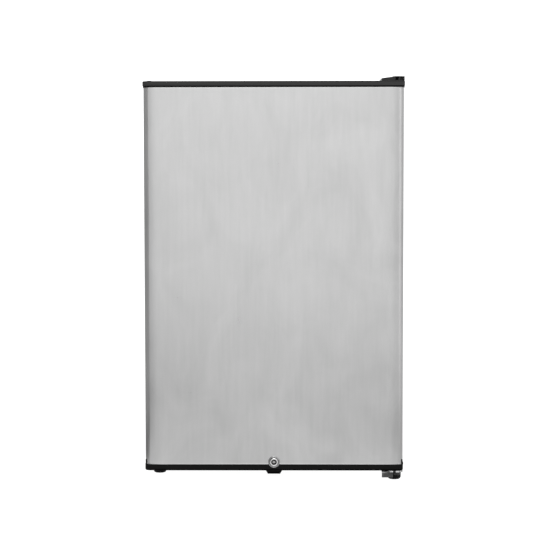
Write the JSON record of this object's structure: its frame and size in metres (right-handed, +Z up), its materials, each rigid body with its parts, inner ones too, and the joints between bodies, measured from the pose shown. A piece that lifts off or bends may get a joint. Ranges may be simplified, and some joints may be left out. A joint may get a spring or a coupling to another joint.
{
  "type": "compact refrigerator",
  "caption": "Free-standing compact refrigerator with one flat steel door, a key lock, a freezer box, glass shelves, a drawer, door bins and a rear wire condenser.",
  "frame": {"origin": "on the floor, under the middle of the overall box", "axes": "+Z up, the door faces -Y, the door's hinge is at +X"},
  "size_m": [0.521, 0.523, 0.8126],
  "materials": {
    "stainless": "satin",
    "cap_black": "satin",
    "white_liner": "satin",
    "clear_bin": "gloss",
    "shelf_glass": "gloss",
    "white_trim": "satin",
    "cabinet_black": "satin",
    "galvanised": "satin",
    "foam": "matte",
    "gasket_grey": "matte",
    "chrome": "polished",
    "zinc": "satin",
    "copper": "satin",
    "aluminium": "satin",
    "black_metal": "satin",
    "black_rubber": "matte",
    "black_plastic": "matte",
    "nylon": "matte",
    "lens": "gloss",
    "bulb_glass": "gloss"
  },
  "bodies": {
    "cabinet": {"outer_wrapper": "cabinet_black", "back_panel": "galvanised", "base_pan": "cabinet_black", "foam_insulation": "foam", "inner_liner": "white_liner", "compressor_plate": "galvanised", "rear_feet": "black_plastic", "compressor_lower_shell": "black_metal", "compressor_upper_shell": "black_metal", "compressor_grommets": "black_rubber", "compressor_bolts": "zinc", "terminal_cover": "black_plastic", "evaporation_tray": "black_plastic", "drain_tube": "nylon", "discharge_tube": "copper", "suction_tube": "copper", "liquid_tube": "black_metal", "filter_drier": "copper", "capillary_tube": "copper", "condenser_tube": "black_metal", "condenser_wires": "black_metal", "condenser_brackets": "black_plastic", "cabinet_screws": "zinc", "cord_gland": "black_plastic", "evaporator_box": "aluminium", "evaporator_hangers": "nylon", "freezer_frame": "white_trim", "shelf_trims": "white_trim", "thermostat_housing": "white_trim", "thermostat_body": "galvanised", "lamp_lens": "lens", "lamp_bulb": "bulb_glass", "upper_hinge_bracket": "zinc", "upper_hinge_cover": "cap_black", "lower_hinge_bracket": "zinc", "lock_strike": "zinc", "shelf_glass_lower": "shelf_glass", "shelf_glass_middle": "shelf_glass", "shelf_glass_upper": "shelf_glass"},
    "door": {"door_skin": "stainless", "door_top_cap": "cap_black", "door_bottom_cap": "cap_black", "door_liner": "white_liner", "door_foam": "foam", "door_gasket": "gasket_grey", "bottle_guard": "chrome", "hinge_bushes": "black_plastic", "hinge_hole_plug": "cap_black", "lock_body": "chrome", "door_rack_top": "clear_bin", "door_rack_middle": "clear_bin", "door_rack_bottom": "clear_bin"},
    "lock": {"lock_cylinder": "chrome", "lock_cam": "zinc"},
    "freezer_flap": {"freezer_flap": "white_trim"},
    "drip_tray": {"drip_tray": "clear_bin"},
    "chill_drawer": {"chill_drawer": "clear_bin"},
    "thermostat_knob": {"thermostat_knob": "white_trim"},
    "front_left_foot": {"front_left_foot": "black_plastic"},
    "front_right_foot": {"front_right_foot": "black_plastic"}
  },
  "joints": [
    {"name": "door_hinge", "type": "hinge", "parent": "cabinet", "child": "door", "pos_m": [0.248, -0.236, 0.03], "axis": [0, 0, 1], "range_deg": [0, 120]},
    {"name": "lock_turn", "type": "hinge", "parent": "door", "child": "lock", "pos_m": [0, -0.23, 0.0427], "axis": [0, 1, 0], "range_deg": [0, 90]},
    {"name": "freezer_flap_hinge", "type": "hinge", "parent": "cabinet", "child": "freezer_flap", "pos_m": [0, -0.0604, 0.747], "axis": [-1, 0, 0], "range_deg": [0, 90]},
    {"name": "drip_tray_slide", "type": "slide", "parent": "cabinet", "child": "drip_tray", "axis": [0, -1, 0], "range_m": [0, 0.085]},
    {"name": "chill_drawer_slide", "type": "slide", "parent": "cabinet", "child": "chill_drawer", "axis": [0, -1, 0], "range_m": [0, 0.088]},
    {"name": "thermostat_turn", "type": "hinge", "parent": "cabinet", "child": "thermostat_knob", "pos_m": [0.18, -0.116, 0.556], "axis": [-1, 0, 0], "range_deg": [-140, 140]},
    {"name": "left_foot_turn", "type": "hinge", "parent": "cabinet", "child": "front_left_foot", "pos_m": [-0.239, -0.142, 0.02], "axis": [0, 0, 1], "continuous": true},
    {"name": "right_foot_turn", "type": "hinge", "parent": "cabinet", "child": "front_right_foot", "pos_m": [0.2445, -0.208, 0.02], "axis": [0, 0, 1], "continuous": true}
  ]
}
